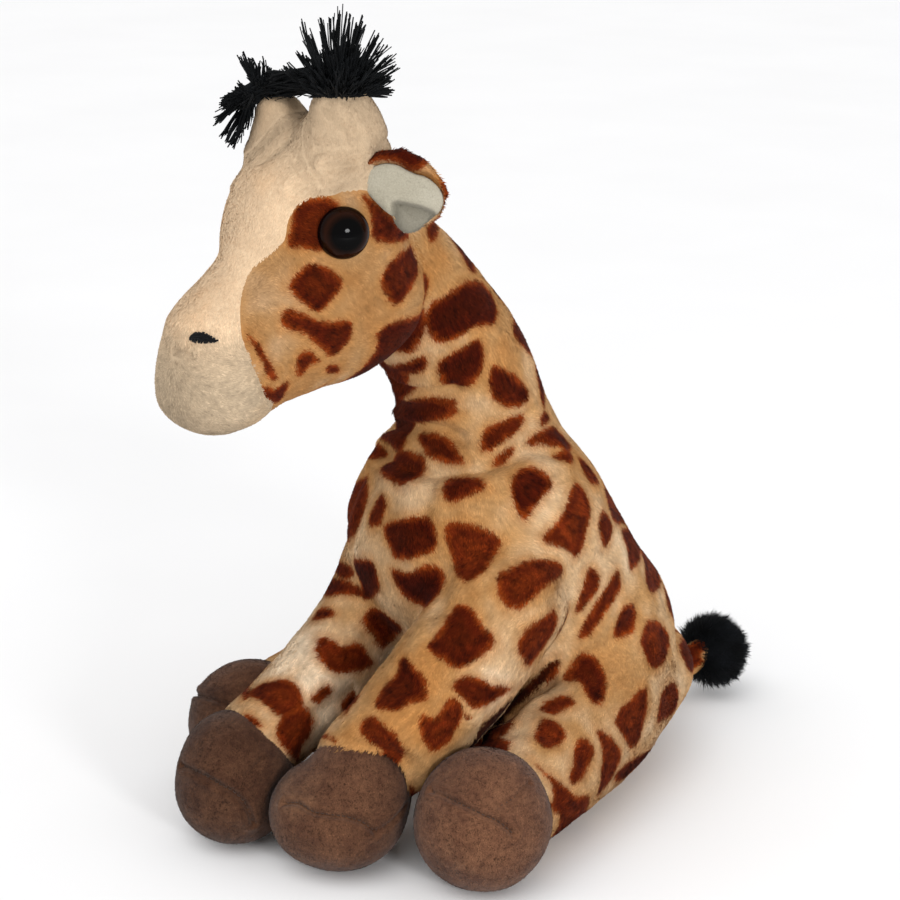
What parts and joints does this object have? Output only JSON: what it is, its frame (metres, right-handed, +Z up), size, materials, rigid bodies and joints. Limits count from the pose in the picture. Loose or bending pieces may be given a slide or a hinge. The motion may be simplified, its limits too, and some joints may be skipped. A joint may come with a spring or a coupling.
{
  "type": "stuffed toy giraffe",
  "caption": "Seated plush giraffe calf with brown patches on tan, plain beige face, suede hooves, glossy eyes and black yarn tufts; neck, legs, ears and tail flop.",
  "frame": {"origin": "on the floor under the middle of the whole seated animal", "axes": "+Z up, the animal faces -Y, its left side is +X"},
  "size_m": [0.167, 0.2737, 0.2885],
  "materials": {
    "printed_plush": "short plush, orange tan with rust brown patches",
    "plain_plush": "short plush, warm beige",
    "white_plush": "very short plush, off white",
    "hoof_suede": "short suede, taupe brown",
    "yarn_tuft": "matt black yarn",
    "tail_fur": "black pile",
    "black_thread": "stitched thread",
    "eye_plastic": "glossy, brown iris round a black pupil",
    "washer_plastic": "white, inside the head",
    "polyester_filling": "loose white fibre",
    "pellet_bag": "thin woven bag of plastic pellets"
  },
  "bodies": {
    "torso": {"torso_skin": "printed_plush", "torso_stuffing": "polyester_filling", "seat_pellet_bag": "pellet_bag"},
    "head": {"neck_skin": "printed_plush", "neck_stuffing": "polyester_filling", "head_side_left": "printed_plush", "head_side_right": "printed_plush", "face_panel": "plain_plush", "head_stuffing": "polyester_filling", "ossicone_left": "plain_plush", "ossicone_tuft_left": "yarn_tuft", "eye_left": "eye_plastic", "eye_washer_left": "washer_plastic", "nostril_left": "black_thread", "ossicone_right": "plain_plush", "ossicone_tuft_right": "yarn_tuft", "eye_right": "eye_plastic", "eye_washer_right": "washer_plastic", "nostril_right": "black_thread"},
    "ear_left": {"ear_left": "printed_plush", "ear_lining_left": "white_plush"},
    "ear_right": {"ear_right": "printed_plush", "ear_lining_right": "white_plush"},
    "tail": {"tail_skin": "printed_plush", "tail_tuft": "tail_fur"},
    "front_leg_left": {"front_leg_skin_left": "printed_plush", "front_leg_stuffing_left": "polyester_filling", "front_hoof_left": "hoof_suede"},
    "front_leg_right": {"front_leg_skin_right": "printed_plush", "front_leg_stuffing_right": "polyester_filling", "front_hoof_right": "hoof_suede"},
    "hind_leg_left": {"hind_leg_skin_left": "printed_plush", "hind_leg_stuffing_left": "polyester_filling", "hind_hoof_left": "hoof_suede"},
    "hind_leg_right": {"hind_leg_skin_right": "printed_plush", "hind_leg_stuffing_right": "polyester_filling", "hind_hoof_right": "hoof_suede"}
  },
  "joints": [
    {"name": "neck_nod", "type": "hinge", "parent": "torso", "child": "head", "pos_m": [0, -0.0067, 0.137], "axis": [1, 0, 0], "range_deg": [-10, 12]},
    {"name": "front_leg_swing_left", "type": "hinge", "parent": "torso", "child": "front_leg_left", "pos_m": [0.033, -0.0247, 0.082], "axis": [-1, 0, 0], "range_deg": [0, 20]},
    {"name": "front_leg_swing_right", "type": "hinge", "parent": "torso", "child": "front_leg_right", "pos_m": [-0.032, -0.0217, 0.078], "axis": [-1, 0, 0], "range_deg": [0, 20]},
    {"name": "hind_leg_splay_left", "type": "hinge", "parent": "torso", "child": "hind_leg_left", "pos_m": [0.038, 0.0153, 0.031], "axis": [0, 0, 1], "range_deg": [0, 14]},
    {"name": "hind_leg_splay_right", "type": "hinge", "parent": "torso", "child": "hind_leg_right", "pos_m": [-0.038, 0.0153, 0.031], "axis": [0, 0, -1], "range_deg": [0, 14]},
    {"name": "tail_swing", "type": "hinge", "parent": "torso", "child": "tail", "pos_m": [0, 0.0813, 0.023], "axis": [1, 0, 0], "range_deg": [-6, 20]},
    {"name": "ear_flop_left", "type": "hinge", "parent": "head", "child": "ear_left", "pos_m": [0.0283, -0.0797, 0.2375], "axis": [-0.0702, 0.1003, 0.9925], "range_deg": [-14, 14], "stiffness_Nm_per_rad": 0.01},
    {"name": "ear_flop_right", "type": "hinge", "parent": "head", "child": "ear_right", "pos_m": [-0.02674, -0.07742, 0.235], "axis": [0.1083, 0.0571, 0.9925], "range_deg": [-14, 14], "stiffness_Nm_per_rad": 0.01}
  ]
}
